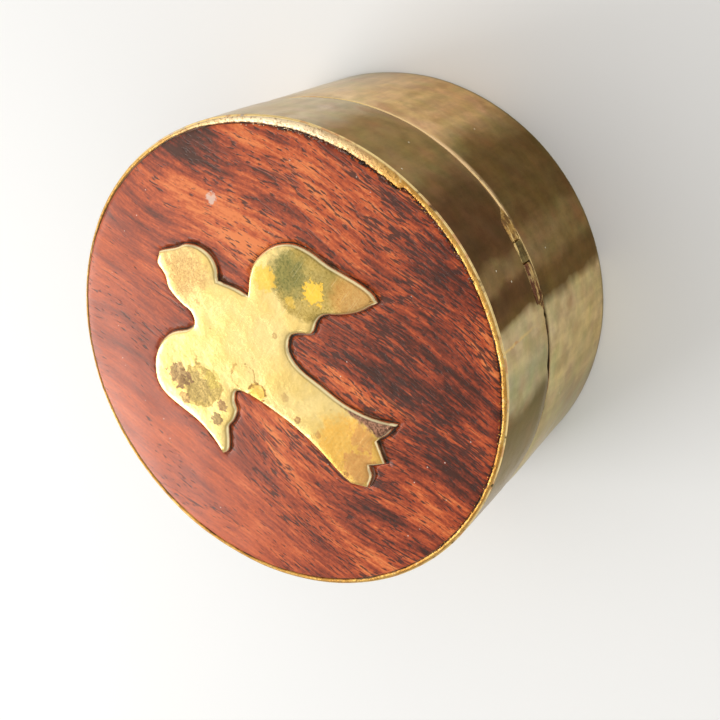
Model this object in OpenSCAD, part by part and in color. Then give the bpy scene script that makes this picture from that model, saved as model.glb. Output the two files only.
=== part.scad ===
// Round brass pill box with a hinged lid, a rosewood lid panel and an inlaid brass bird.
// Millimetres. The box stands upright on z = 0, its axis is z and the hinge is at the back (+y).

/* [Box] */
// Outer diameter of the wall
body_d = 44; // [36:1:56]
// Height from the underside to the rim of the lid
body_h = 24.2; // [18:0.1:34]
// Height of the lid, from the seam to its rim
lid_h = 9.7; // [7:0.1:14]
// Thickness of the brass sheet of both walls
wall_t = 0.5; // [0.4:0.05:0.8]
// Thickness of the plate in the bottom of the base
base_plate_t = 0.6; // [0.4:0.1:1.2]
// Thickness of the plate under the wooden panel
lid_plate_t = 0.5; // [0.4:0.1:1.2]
// Gap between the closed lid and the base
seam_gap = 0.05; // [0.02:0.01:0.1]
// Bevel filed on the outer corners of the walls
wall_bevel = 0.15; // [0.05:0.05:0.2]
// Size of the solder fillets inside the box
fillet_r = 0.6; // [0.3:0.1:1]
// Width of the soldered joint in each bent wall
wall_joint_w = 0.3; // [0.15:0.05:0.5]

/* [Wooden panel] */
// Diameter of the wooden disc
panel_d = 42.2; // [34:0.1:54]
// Depth of the recess in the lid that holds the disc
panel_recess = 2.4; // [1.5:0.1:4]
// Height of the edge of the disc above the rim
panel_proud = 0.1; // [0:0.05:0.4]
// Height of the crown in the middle of the disc
panel_crown = 0.4; // [0:0.05:1]
// Distance of the disc from the middle of the lid
panel_shift = 0.25; // [0:0.05:0.28]
// Direction of that distance
panel_shift_angle = -60; // [-180:5:180]
// Thickness of the cement under and around the wood
cement_t = 0.1; // [0.05:0.01:0.2]

/* [Bird] */
// Thickness of the brass bird
bird_t = 1; // [0.6:0.1:1.6]
// Height of the face of the bird above the middle of the crown
bird_proud = 0.35; // [0.1:0.05:0.8]
// Width of the cement in the gap round the bird
bird_gap = 0.12; // [0.05:0.01:0.3]

/* [Collar] */
// Height of the inner collar above the seam
collar_rise = 1.6; // [0.8:0.1:2.5]
// Depth of the collar below the seam
collar_depth = 3; // [1.5:0.1:5]
// Thickness of the collar
collar_t = 0.5; // [0.4:0.05:0.8]
// Gap between the collar and the wall of the lid
collar_gap = 0.12; // [0.08:0.01:0.2]
// Half of the angle that the collar leaves free at the hinge
collar_free_angle = 40; // [35:1:60]

/* [Hinge] */
// Outer diameter of the hinge tube
knuckle_d = 1.6; // [1.4:0.1:2.4]
// Diameter of the hinge pin
pin_d = 0.7; // [0.6:0.1:1.2]
// Gap round the pin
pin_gap = 0.05; // [0.02:0.01:0.09]
// Length of the hinge over its three knuckles
hinge_len = 9.4; // [8:0.1:12]
// Length of the middle knuckle, the one on the base
mid_knuckle_len = 1.9; // [1.5:0.1:3]
// Distance of the middle knuckle to the left of the middle of the hinge
mid_knuckle_shift = 0.7; // [0:0.1:1]
// Gap between two knuckles
knuckle_gap = 0.1; // [0.05:0.01:0.2]
// Distance of the hinge axis inside the outside of the wall
hinge_inset = 0.7; // [0.5:0.05:0.8]
// Height of the spread head at each end of the pin
pin_head_t = 0.15; // [0.1:0.05:0.3]

/* [Hidden] */

$fn = 128;
small_fn = 48;
fine_fn = 720;
eps = 0.01;
clear_l = 1;

body_r = body_d / 2;
inner_r = body_r - wall_t;
seam_z = body_h - lid_h;
lid_low_z = seam_z + seam_gap;
panel_floor_z = body_h - panel_recess;
lid_plate_z = panel_floor_z - lid_plate_t;

panel_r = panel_d / 2;
panel_x = panel_shift * cos(panel_shift_angle);
panel_y = panel_shift * sin(panel_shift_angle);
panel_low_z = panel_floor_z + cement_t;
panel_edge_z = body_h + panel_proud;
panel_top_z = panel_edge_z + panel_crown;
crown_steps = 8;

bird_top_z = panel_top_z + bird_proud;
bird_low_z = bird_top_z - bird_t;
pocket_z = bird_low_z - cement_t;
bird_steps = 3;

collar_low_r = inner_r;
collar_top_r = inner_r - collar_gap;
collar_in_r = inner_r - collar_t;

knuckle_r = knuckle_d / 2;
pin_r = pin_d / 2;
bore_r = pin_r + pin_gap;
axis_y = body_r - hinge_inset;
axis_z = lid_low_z + knuckle_r;
hinge_x = hinge_len / 2;
mid_low_x = -mid_knuckle_shift - mid_knuckle_len / 2;
mid_high_x = mid_low_x + mid_knuckle_len;
notch_gap = knuckle_gap / 2;
notch_x = hinge_x + pin_head_t + 3 * notch_gap;
notch_top_z = axis_z + knuckle_r + notch_gap;
pin_head_r = (pin_r + knuckle_r) / 2;

solder_in_r = inner_r - wall_t;
base_solder_top_z = axis_z - knuckle_r / 3;
lid_solder_low_z = axis_z + knuckle_r / 3;
lid_solder_top_z = notch_top_z + knuckle_r;

lid_joint_angle = acos((notch_x + wall_joint_w) / body_r);
base_joint_angle = 250;

// Colours of the materials.
brass = [0.55, 0.43, 0.22];
polished_brass = [0.85, 0.68, 0.33];
solder = [0.72, 0.58, 0.32];
rosewood = [0.42, 0.14, 0.07];
cement = [0.09, 0.06, 0.05];
pin_brass = [0.66, 0.52, 0.26];

// Outline of the bird seen from above, clockwise from the tip of the beak.
// Each entry is x, y and 1 for a corner or 0 for a point on a smooth curve.
bird_head = [[-13.4, -6.1, 1], [-13, -4.2, 0], [-12.9, -3, 0], [-12.2, -1.8, 0],
             [-11, -1, 0], [-9.8, -1, 0], [-8.8, -1.5, 1], [-7.6, 0, 0], [-6.6, 0.9, 1]];
bird_back_wing = [[-8, 1.9, 0], [-9, 3, 0], [-9.5, 4.5, 0], [-9.6, 6, 0], [-9.1, 7.6, 0],
                  [-7.9, 8.9, 0], [-6.3, 10, 0], [-4.4, 11.7, 0], [-3, 12.7, 0],
                  [-2, 12.9, 1], [-1.8, 10.9, 0], [-2.1, 9.1, 0], [-2.6, 7.5, 0],
                  [-2.3, 6.5, 0], [-1.5, 5.5, 0], [-1.9, 4.2, 0], [-1.9, 3.2, 0]];
bird_tail = [[-0.7, 2.4, 0], [1, 2.7, 0], [3, 4, 0], [5.2, 5.5, 0], [7, 7.5, 0],
             [8.2, 9.7, 1], [8.8, 8.4, 0], [9.1, 7, 1], [11.2, 6.8, 1], [11, 5.1, 1],
             [12, 4.9, 0], [12.9, 4, 1], [12.2, 2.5, 1], [11, 1.8, 0], [8.5, 0.8, 0],
             [6, -0.5, 0], [3.5, -2.3, 0], [1.8, -3.8, 0]];
bird_front_wing = [[1, -5, 0], [1.8, -5.8, 0], [2.7, -6, 0], [3.5, -6.9, 0], [3.9, -7.8, 0],
                   [5, -8.4, 0], [6, -9.1, 0], [6.2, -9.9, 1], [4.4, -10.2, 0],
                   [2.4, -11, 0], [0.4, -12.4, 0], [-1.2, -13.3, 0], [-2.8, -13.4, 0],
                   [-4.6, -12.4, 0], [-5.8, -10.8, 0], [-6.2, -9, 0], [-5.9, -7.2, 0]];
bird_throat = [[-6.2, -6.1, 0], [-7.2, -5.9, 0], [-8.2, -6.5, 0], [-9.9, -7.1, 0],
               [-11.2, -6.8, 0], [-12.5, -7, 0]];
bird_anchors = concat(bird_head, bird_back_wing, bird_tail, bird_front_wing, bird_throat);

// Anchor i of the bird, counted round the outline.
function anchor(i) = bird_anchors[(i + len(bird_anchors)) % len(bird_anchors)];
function flat(p) = [p[0], p[1]];

// Direction of the outline at anchor i for the stretch that starts at anchor s.
function slope(i, s) =
    anchor(i)[2] == 1
        ? flat(anchor(s + 1)) - flat(anchor(s))
        : (flat(anchor(i + 1)) - flat(anchor(i - 1))) / 2;

// Cubic curve between anchors s and s + 1.
function curve(s, t) =
    let (t2 = t * t, t3 = t2 * t)
    (2 * t3 - 3 * t2 + 1) * flat(anchor(s)) + (t3 - 2 * t2 + t) * slope(s, s)
        + (3 * t2 - 2 * t3) * flat(anchor(s + 1)) + (t3 - t2) * slope(s + 1, s);

function straight(s) = anchor(s)[2] == 1 && anchor(s + 1)[2] == 1;

bird_points = [for (s = [0 : len(bird_anchors) - 1])
                   for (k = [0 : straight(s) ? 0 : bird_steps - 1])
                       curve(s, k / bird_steps)];

function point(i) = bird_points[(i + len(bird_points)) % len(bird_points)];

// Point i moved outwards by grow.
function grown(i, grow) =
    let (d = point(i + 1) - point(i - 1))
    point(i) + grow * [-d[1], d[0]] / norm(d);

function bird_outline(grow) = [for (i = [0 : len(bird_points) - 1]) grown(i, grow)];

// Prism with the outline of the bird.
module bird_prism(grow, low_z, high_z) {
    translate([0, 0, low_z])
        linear_extrude(high_z - low_z)
            polygon(bird_outline(grow));
}

// Upright tube between two radii.
module ring(in_r, out_r, low_z, high_z) {
    translate([0, 0, low_z])
        difference() {
            cylinder(r = out_r, h = high_z - low_z);
            translate([0, 0, -clear_l])
                cylinder(r = in_r, h = high_z - low_z + 2 * clear_l);
        }
}

// Slab across the hinge between two x positions, wide enough to cut or keep the wall.
module hinge_slab(low_x, high_x, low_z, high_z) {
    translate([low_x, inner_r - 3 * wall_t - clear_l, low_z])
        cube([high_x - low_x, 3 * wall_t + 2 * clear_l + wall_t, high_z - low_z]);
}

// Bar along x on the hinge axis.
module hinge_bar(r, low_x, high_x) {
    translate([low_x, axis_y, axis_z])
        rotate([0, 90, 0])
            cylinder(r = r, h = high_x - low_x, $fn = small_fn);
}

// Thin upright slab through a wall at an angle.
module joint_slab(angle, low_z, high_z) {
    rotate([0, 0, angle])
        translate([inner_r - clear_l, -wall_joint_w / 2, low_z])
            cube([wall_t + 2 * clear_l, wall_joint_w, high_z - low_z]);
}

// Bent sheet wall with bevels on the outer corners and its joint left open.
module wall(low_z, high_z, low_bevel, high_bevel, angle) {
    difference() {
        rotate_extrude()
            polygon([[inner_r, low_z], [body_r - low_bevel, low_z],
                     [body_r, low_z + low_bevel], [body_r, high_z - high_bevel],
                     [body_r - high_bevel, high_z], [inner_r, high_z]]);
        joint_slab(angle, low_z - clear_l, high_z + clear_l);
    }
}

// Solder that closes the joint of a wall.
module joint_fill(low_z, high_z, angle) {
    intersection() {
        ring(inner_r, body_r - wall_bevel, low_z, high_z);
        joint_slab(angle, low_z, high_z);
    }
}

// Concave fillet in the corner between a wall and a plate, dir is 1 above and -1 below it.
module fillet_ring(corner_z, dir) {
    arc_steps = 6;
    arc = [for (k = [0 : arc_steps])
               let (a = 90 * k / arc_steps)
               [inner_r - fillet_r * (1 - sin(a)), corner_z + dir * fillet_r * (1 - cos(a))]];
    rotate_extrude()
        polygon(concat([[inner_r, corner_z]], arc));
}

// Knuckle of the hinge.
module knuckle(low_x, high_x) {
    difference() {
        hinge_bar(knuckle_r, low_x, high_x);
        hinge_bar(bore_r, low_x - clear_l, high_x + clear_l);
    }
}

module hinge_notch() {
    hinge_slab(-notch_x, notch_x, lid_low_z - clear_l, notch_top_z);
}

module lid_band() {
    color(brass)
        difference() {
            wall(lid_low_z, body_h, wall_bevel / 2, wall_bevel, lid_joint_angle);
            hinge_notch();
        }
}

module lid_joint_solder() {
    color(solder)
        difference() {
            joint_fill(lid_low_z, body_h - wall_bevel, lid_joint_angle);
            hinge_notch();
        }
}

// Cylinder on the axis of the wooden disc.
module panel_cylinder(r, low_z, high_z) {
    translate([panel_x, panel_y, low_z])
        cylinder(r = r, h = high_z - low_z);
}

module rim_solder() {
    color(solder)
        difference() {
            translate([0, 0, panel_floor_z])
                cylinder(r = inner_r, h = panel_recess - wall_bevel / 2);
            panel_cylinder(panel_r + cement_t, panel_floor_z - clear_l, body_h + clear_l);
        }
}

module lid_plate() {
    color(brass)
        translate([0, 0, lid_plate_z])
            cylinder(r = inner_r, h = lid_plate_t);
}

module lid_plate_solder() {
    color(solder)
        fillet_ring(lid_plate_z, -1);
}

module wood_panel() {
    crown = [for (k = [crown_steps : -1 : 0])
                 let (s = k / crown_steps)
                 [panel_r * s, panel_edge_z + panel_crown * (1 - s * s)]];
    color(rosewood)
        difference() {
            translate([panel_x, panel_y, 0])
                rotate_extrude()
                    polygon(concat([[0, panel_low_z], [panel_r, panel_low_z]], crown));
            bird_prism(bird_gap, pocket_z, bird_top_z + clear_l);
        }
}

module panel_cement() {
    color(cement)
        difference() {
            panel_cylinder(panel_r + cement_t, panel_floor_z, body_h - wall_bevel);
            panel_cylinder(panel_r, panel_low_z, body_h + clear_l);
        }
}

module bird_inlay() {
    color(polished_brass)
        bird_prism(0, bird_low_z, bird_top_z);
}

module bird_cement() {
    color(cement)
        difference() {
            bird_prism(bird_gap, pocket_z, panel_edge_z);
            bird_prism(0, bird_low_z, bird_top_z);
        }
}

module lid_knuckle_left() {
    color(brass)
        knuckle(-hinge_x, mid_low_x - knuckle_gap);
}

module lid_knuckle_right() {
    color(brass)
        knuckle(mid_high_x + knuckle_gap, hinge_x);
}

// The two stretches of wall behind the outer knuckles.
module outer_slabs(low_z, high_z) {
    hinge_slab(-hinge_x, mid_low_x - knuckle_gap, low_z, high_z);
    hinge_slab(mid_high_x + knuckle_gap, hinge_x, low_z, high_z);
}

module lid_hinge_solder() {
    color(solder)
        difference() {
            intersection() {
                union() {
                    ring(solder_in_r, body_r - wall_bevel, lid_solder_low_z, notch_top_z,
                         $fn = fine_fn);
                    ring(solder_in_r, inner_r, lid_solder_low_z, lid_solder_top_z, $fn = fine_fn);
                }
                outer_slabs(lid_solder_low_z, lid_solder_top_z);
            }
            hinge_bar(knuckle_r, -hinge_x - clear_l, hinge_x + clear_l);
        }
}

module hinge_pin() {
    color(pin_brass) {
        hinge_bar(pin_r, -hinge_x - eps, hinge_x + eps);
        hinge_bar(pin_head_r, -hinge_x - pin_head_t, -hinge_x);
        hinge_bar(pin_head_r, hinge_x, hinge_x + pin_head_t);
    }
}

module base_band() {
    color(brass)
        wall(0, seam_z, wall_bevel, wall_bevel / 2, base_joint_angle);
}

module base_joint_solder() {
    color(solder)
        joint_fill(wall_bevel, seam_z - wall_bevel / 2, base_joint_angle);
}

module base_plate() {
    color(brass)
        cylinder(r = inner_r, h = base_plate_t);
}

module base_plate_solder() {
    color(solder)
        fillet_ring(base_plate_t, 1);
}

module collar() {
    color(brass)
        rotate([0, 0, 90 + collar_free_angle])
            rotate_extrude(angle = 360 - 2 * collar_free_angle)
                polygon([[collar_in_r, seam_z - collar_depth], [collar_low_r, seam_z - collar_depth],
                         [collar_low_r, seam_z], [collar_top_r, seam_z],
                         [collar_top_r, seam_z + collar_rise - collar_gap],
                         [collar_top_r - collar_gap, seam_z + collar_rise],
                         [collar_in_r, seam_z + collar_rise]]);
}

module base_knuckle() {
    color(brass)
        knuckle(mid_low_x, mid_high_x);
}

module base_hinge_solder() {
    color(solder)
        difference() {
            intersection() {
                ring(solder_in_r, body_r - wall_bevel, seam_z, base_solder_top_z, $fn = fine_fn);
                hinge_slab(mid_low_x, mid_high_x, seam_z, base_solder_top_z);
            }
            hinge_bar(knuckle_r, mid_low_x - clear_l, mid_high_x + clear_l);
        }
}

lid_band();
lid_joint_solder();
rim_solder();
lid_plate();
lid_plate_solder();
wood_panel();
panel_cement();
bird_inlay();
bird_cement();
lid_knuckle_left();
lid_knuckle_right();
lid_hinge_solder();
hinge_pin();
base_band();
base_joint_solder();
base_plate();
base_plate_solder();
collar();
base_knuckle();
base_hinge_solder();
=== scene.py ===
"""Looks of the round brass and rosewood pill box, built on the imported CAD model."""
import random
from math import acos, asin, atan2, cos, exp, pi, radians, sin, sqrt
from math import degrees as to_degrees

import bmesh
import bpy
from mathutils import Matrix, Vector, noise
from mathutils.geometry import delaunay_2d_cdt


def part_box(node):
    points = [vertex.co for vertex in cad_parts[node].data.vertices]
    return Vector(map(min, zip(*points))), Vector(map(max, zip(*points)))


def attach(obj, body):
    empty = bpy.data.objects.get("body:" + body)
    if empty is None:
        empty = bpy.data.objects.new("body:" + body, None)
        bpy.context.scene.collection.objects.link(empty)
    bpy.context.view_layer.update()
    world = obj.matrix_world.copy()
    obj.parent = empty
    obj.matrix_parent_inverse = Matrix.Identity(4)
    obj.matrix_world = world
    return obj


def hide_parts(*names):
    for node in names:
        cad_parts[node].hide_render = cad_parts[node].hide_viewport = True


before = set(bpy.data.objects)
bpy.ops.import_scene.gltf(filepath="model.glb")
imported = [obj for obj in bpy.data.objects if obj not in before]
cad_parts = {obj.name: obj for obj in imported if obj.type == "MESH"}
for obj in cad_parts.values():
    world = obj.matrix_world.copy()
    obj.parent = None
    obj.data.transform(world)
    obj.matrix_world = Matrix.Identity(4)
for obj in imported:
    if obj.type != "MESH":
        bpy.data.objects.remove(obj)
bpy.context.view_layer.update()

MM = 0.001
random.seed(11)


def put(thing):
    """Puts an object into the scene."""
    bpy.context.scene.collection.objects.link(thing)


# ---- Dimensions, in millimetres, read from the CAD nodes ----

WOOD_RAISE = 0.1
NOTCH_SIDE_GAP, NOTCH_TOP_GAP = 0.15, 0.05
JOINT_FROM_NOTCH = 0.3


def node_box(name):
    """Lowest and highest corner of a CAD node."""
    low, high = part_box(name)
    return Vector(low) / MM, Vector(high) / MM


lid_low, lid_high = node_box("lid_band")
wood_low, wood_high = node_box("wood_panel")
bird_low, bird_high = node_box("bird_inlay")
knuckle_low, knuckle_high = node_box("base_knuckle")

BODY_R = lid_high.x
INNER_R = node_box("lid_plate")[1].x
RIM_Z = lid_high.z
LID_Z = lid_low.z
SEAM_Z = node_box("base_band")[1].z
WOOD_C = (wood_low + wood_high) / 2
WOOD_R = (wood_high.x - wood_low.x) / 2
WOOD_EDGE = RIM_Z + WOOD_RAISE
CROWN = wood_high.z - WOOD_EDGE
BIRD_TOP = bird_high.z
BIRD_LOW = bird_low.z
AXIS_Y = (knuckle_low.y + knuckle_high.y) / 2
AXIS_Z = (knuckle_low.z + knuckle_high.z) / 2
KNUCKLE_R = (knuckle_high.z - knuckle_low.z) / 2
NOTCH_X = node_box("hinge_pin")[1].x + NOTCH_SIDE_GAP
NOTCH_Z = knuckle_high.z + NOTCH_TOP_GAP
JOINT_DEG = to_degrees(acos((NOTCH_X + JOINT_FROM_NOTCH) / BODY_R))


# ---- Camera, at the photo's viewing angle ----

# places in millimetres from the middle of the rim, and the roll about the line of sight in degrees
CAMERA_AT = Vector((-11.1, 63.3, 75.7))
CAMERA_AIM = Vector((2.05, 8.5, 0))
CAMERA_ROLL = -125.5
LENS_MM, SENSOR_MM, CLIP_MM = 56.1, 36, 5


def make_camera():
    """The camera looks down on the lid from behind the hinge, rolled onto its side."""
    data = bpy.data.cameras.new("camera")
    data.lens = LENS_MM
    data.sensor_width = SENSOR_MM
    data.clip_start = CLIP_MM * MM
    camera = bpy.data.objects.new("camera", data)
    stand = (Vector((0, 0, RIM_Z)) + CAMERA_AT) * MM
    look = (CAMERA_AIM - CAMERA_AT).to_track_quat("-Z", "Y").to_matrix().to_4x4()
    roll = Matrix.Rotation(radians(CAMERA_ROLL), 4, "Z")
    camera.matrix_world = Matrix.Translation(stand) @ look @ roll
    put(camera)
    bpy.context.scene.camera = camera


# ---- Shader helpers ----

# the node tree that the helpers add to
tree = None


def work_on(node_tree):
    """From here on the helpers add to this node tree."""
    global tree
    tree = node_tree


def add(kind, inputs=None, **props):
    """New node. A socket among the inputs is linked, any other value is set."""
    node = tree.nodes.new("ShaderNode" + kind)
    for key, value in props.items():
        setattr(node, key, value)
    for key, value in (inputs or {}).items():
        if isinstance(value, bpy.types.NodeSocket):
            tree.links.new(value, node.inputs[key])
        else:
            node.inputs[key].default_value = value
    return node


def calc(op, a, b=0.0, clamp=False):
    """Result of a maths node."""
    node = add("Math", {0: a, 1: b}, operation=op, use_clamp=clamp)
    return node.outputs[0]


def times(a, b, clamp=False):
    """Product."""
    return calc("MULTIPLY", a, b, clamp)


def plus(a, b):
    """Sum."""
    return calc("ADD", a, b)


def minus(a, b, clamp=False):
    """Difference."""
    return calc("SUBTRACT", a, b, clamp)


def vector_times(a, b):
    """Vector multiplied axis by axis."""
    return add("VectorMath", {0: a, 1: b}, operation="MULTIPLY").outputs[0]


def mix(factor, a, b, blend="MIX"):
    """Colour a where the factor is 0, b where it is 1."""
    def colour(value):
        return value if isinstance(value, bpy.types.NodeSocket) else (*value, 1)
    node = add("Mix", {0: factor, 6: colour(a), 7: colour(b)}, data_type="RGBA", blend_type=blend)
    return node.outputs[2]


def step(value, low, high, to_low=0.0, to_high=1.0):
    """Smooth step of a value from low to high."""
    node = add("MapRange", {0: value, 1: low, 2: high, 3: to_low, 4: to_high},
               interpolation_type="SMOOTHSTEP")
    return node.outputs[0]


def ramp(value, stops):
    """Colour ramp through (position, colour) stops."""
    node = add("ValToRGB", {0: value})
    points = node.color_ramp.elements
    while len(points) < len(stops):
        points.new(1.0)
    for point, (at, colour) in zip(points, stops):
        point.position = at
        point.color = (*colour, 1)
    return node.outputs[0]


def shade(colour, factor):
    """Colour multiplied by a factor."""
    node = add("VectorMath", {0: colour, "Scale": factor}, operation="SCALE")
    return node.outputs[0]


def near(value, target, width):
    """1 where a value is at the target, falling to 0 at width from it."""
    gap = calc("ABSOLUTE", minus(value, target))
    return step(gap, width, 0)


def centred(value):
    """Value from 0 to 1 moved to lie about 0."""
    return minus(value, 0.5)


def place(scale=(1, 1, 1), turn=0.0):
    """Place on the object in millimetres, turned about z, then scaled."""
    source = add("TexCoord").outputs["Object"]
    turned = add("Mapping", {"Vector": source, "Rotation": (0, 0, radians(turn)),
                  "Scale": (1 / MM, 1 / MM, 1 / MM)})
    return vector_times(turned.outputs[0], scale)


def axes(vector=None):
    """X, Y and Z of a vector, or of the place on the object in metres."""
    if vector is None:
        vector = add("TexCoord").outputs["Object"]
    return add("SeparateXYZ", {0: vector}).outputs


def height_mm():
    """Height above the underside of the box, in millimetres."""
    return times(axes()[2], 1 / MM)


def axis_distance(where):
    """Distance of a place from the axis of the box."""
    flat = vector_times(where, (1, 1, 0))
    return add("VectorMath", {0: flat}, operation="LENGTH").outputs["Value"]


def turn_of():
    """Angle round the box from +X, in radians."""
    x, y, _ = axes()
    return calc("ARCTAN2", y, x)


def unrolled(around, along):
    """Place on the unrolled wall in millimetres, scaled around it and along its height."""
    arc_length = times(turn_of(), BODY_R * around)
    height = times(axes()[2], along / MM)
    return add("CombineXYZ", {0: arc_length, 1: height}).outputs[0]


def cloud(vector, scale=1.0, detail=2.0, rough=0.5, bend=0.0):
    """Noise from 0 to 1."""
    node = add("TexNoise", {"Vector": vector, "Scale": scale, "Detail": detail,
                                            "Roughness": rough, "Distortion": bend})
    return node.outputs[0]


def dust(where, scale, outer, inner):
    """1 on scattered specks, between two distances from the middle of each cell."""
    cells = add("TexVoronoi", {"Vector": where, "Scale": scale})
    return step(cells.outputs["Distance"], outer, inner)


def spot(centre, radius, ragged=0.5, grain=1.2, soft=0.35):
    """1 inside a ragged spot round a place on the lid in millimetres, 0 outside it."""
    where = place()
    far = add("VectorMath", {0: where, 1: (*centre, BIRD_TOP)}, operation="DISTANCE")
    edge = times(centred(cloud(where, grain, detail=4, rough=0.6)), 2 * ragged * radius)
    reach = plus(far.outputs["Value"], edge)
    return step(reach, radius * (1 + soft / 2), radius * (1 - soft / 2))


def finish_material(name, build, metallic=0.0, **sockets):
    """Material whose build function returns colour, roughness and a list of (height, depth in mm)."""
    material = bpy.data.materials.new(name)
    material.use_nodes = True
    work_on(material.node_tree)
    shader = tree.nodes["Principled BSDF"]
    shader.inputs["Metallic"].default_value = metallic
    for key, value in sockets.items():
        shader.inputs[key.replace("_", " ")].default_value = value
    colour, roughness, heights = build()
    tree.links.new(colour, shader.inputs["Base Color"])
    tree.links.new(roughness, shader.inputs["Roughness"])
    normal = None
    for height, depth in heights:
        inputs = {"Height": height, "Distance": depth * MM, "Strength": 1.0}
        if normal is not None:
            inputs["Normal"] = normal
        normal = add("Bump", inputs).outputs[0]
    tree.links.new(normal, shader.inputs["Normal"])
    return material


# ---- Brass of the walls ----

# tones of the patina, partly painted reflection: dark where the walls would mirror shade, light where
# they would mirror bright surroundings; and where they lie round the two walls in degrees from +X
PATINA_AND_REFLECTION_TONES = {"dark": (0.12, 0.06, 0.03), "umber": (0.17, 0.1, 0.04), "moss": (0.11, 0.09, 0.04),
         "brown": (0.3, 0.2, 0.09), "tan": (0.84, 0.65, 0.44), "gold": (0.74, 0.5, 0.26),
         "olive": (0.74, 0.61, 0.34), "sage": (0.5, 0.46, 0.28), "pale": (0.6, 0.55, 0.47)}
LID_PATINA_AND_REFLECTION_BANDS = ((0, "brown"), (24, "umber"), (44, "moss"), (60, "moss"), (63, "sage"), (68, "sage"),
             (72, "olive"), (78, "olive"), (80, "umber"), (83, "dark"), (87, "dark"), (89, "brown"),
             (92, "brown"), (94, "dark"), (109, "dark"), (118, "brown"), (136, "brown"),
             (147, "pale"), (172, "pale"), (186, "tan"), (203, "brown"), (214, "umber"),
             (230, "dark"), (246, "brown"), (262, "olive"), (268, "sage"), (290, "brown"),
             (298, "umber"), (318, "dark"), (340, "olive"), (360, "brown"))
BASE_PATINA_AND_REFLECTION_BANDS = ((0, "brown"), (22, "sage"), (48, "sage"), (60, "olive"), (77, "olive"), (80, "umber"),
              (85, "umber"), (88, "brown"), (95, "brown"), (98, "umber"), (115, "umber"),
              (119, "brown"), (126, "gold"), (138, "gold"), (149, "tan"), (166, "pale"),
              (182, "tan"), (198, "gold"), (207, "umber"), (224, "umber"), (238, "brown"),
              (252, "olive"), (276, "sage"), (291, "brown"), (302, "umber"), (320, "umber"),
              (340, "olive"), (350, "gold"), (360, "brown"))
BAND_SWAY = 10.0

EDGE_TINT = (0.84, 0.73, 0.56, 1)
WARM_STAIN = (0.26, 0.135, 0.065)
RUBBED = (0.6, 0.47, 0.26)
# gold and copper of rubbed edges, partly painted highlight
WORN_AND_LIT_GOLD = (0.92, 0.68, 0.3)
WORN_AND_LIT_COPPER = (0.66, 0.3, 0.14)
# bright seam bead colour, partly painted highlight
BEAD_AND_HIGHLIGHT_GOLD = (0.95, 0.66, 0.36)
FOOT_OLIVE = (0.17, 0.14, 0.055)
# painted shade in the gap of the seam
PAINTED_SEAM_SHADE = (0.02, 0.013, 0.008)
DUST_GREY = (0.8, 0.74, 0.6)

# attribute of the wall meshes that is 1 on their rounded corners
EDGE = "edge"
# bright bead along the seam, partly painted highlight, and the part of the seam where the painted shade
# starts further in, in degrees from +X
BEAD_AND_HIGHLIGHT_AT, BEAD_AND_HIGHLIGHT_HALF = 120, 30
SHADE_DEEPER_FROM, SHADE_DEEPER_TO = 88, 96
# half height of the bead and the foot line, and reach of the painted shade in the seam, in millimetres
BEAD_AND_HIGHLIGHT_HEIGHT, FOOT_HEIGHT = 0.6, 0.55
SEAM_SHADE_HEIGHT, SEAM_SHADE_OUTER, SEAM_SHADE_INNER, SHADE_DEEPER_BY = 0.8, 0.2, 0.3, 0.14


def wall_angle():
    """Angle round the box in degrees, 0 to 360, with a little sway."""
    turn = calc("DIVIDE", turn_of(), 2 * pi)
    degrees = times(calc("FRACT", turn), 360)
    sway = centred(cloud(place(), scale=0.16, detail=3))
    return plus(degrees, times(sway, BAND_SWAY))


def bands(degrees, stops):
    """Tones of the patina and painted reflection round the wall, from (degrees, tone) stops."""
    where = calc("DIVIDE", degrees, 360)
    return ramp(where, [(angle / 360, PATINA_AND_REFLECTION_TONES[tone]) for angle, tone in stops])


def patina(where, mottle, colour):
    """Colour broken up by mottling, upright streaks, warm stains and mixed tints."""
    colour = shade(colour, step(mottle, 0.25, 0.75, 0.8, 1.18))
    upright = cloud(unrolled(0.9, 0.1), detail=3, rough=0.6)
    colour = shade(colour, step(upright, 0.3, 0.7, 0.9, 1.1))
    warm = step(cloud(where, scale=0.22, detail=3, rough=0.6), 0.55, 0.72, 0, 0.35)
    colour = mix(warm, colour, WARM_STAIN)
    tints = add("TexNoise", {"Vector": where, "Scale": 0.45, "Detail": 3.0})
    return mix(0.22, colour, tints.outputs["Color"], blend="OVERLAY")


def joint_wear_and_highlight(height):
    """1 along the joint of the lid wall, from the rim to the end of the hinge, where it is rubbed and
    where a painted highlight marks its step.
    """
    degrees = times(turn_of(), 180 / pi)
    sway = times(cloud(place(), scale=0.7), 0.8)
    ridge = near(minus(degrees, sway), JOINT_DEG - 0.4, 0.5)
    return times(ridge, step(height, LID_Z + 1, RIM_Z - 2))


def worn_metal_and_highlight(where, height, colour):
    """Colour with gold and copper metal where the edges and the lid joint are rubbed bare, partly a
    painted highlight on them.
    """
    edge = add("Attribute", attribute_name=EDGE).outputs["Fac"]
    # rubbed bare metal, partly a painted highlight on the rounded edges and the joint's step
    rubbed_and_lit = calc("MAXIMUM", step(edge, 0.35, 0.9), joint_wear_and_highlight(height))
    rubbed_and_lit = times(rubbed_and_lit, step(cloud(where, scale=1.1, detail=3), 0.26, 0.46))
    copper = step(cloud(where, scale=0.8), 0.52, 0.66, 0, 0.7)
    return mix(rubbed_and_lit, colour, mix(copper, WORN_AND_LIT_GOLD, WORN_AND_LIT_COPPER))


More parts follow.
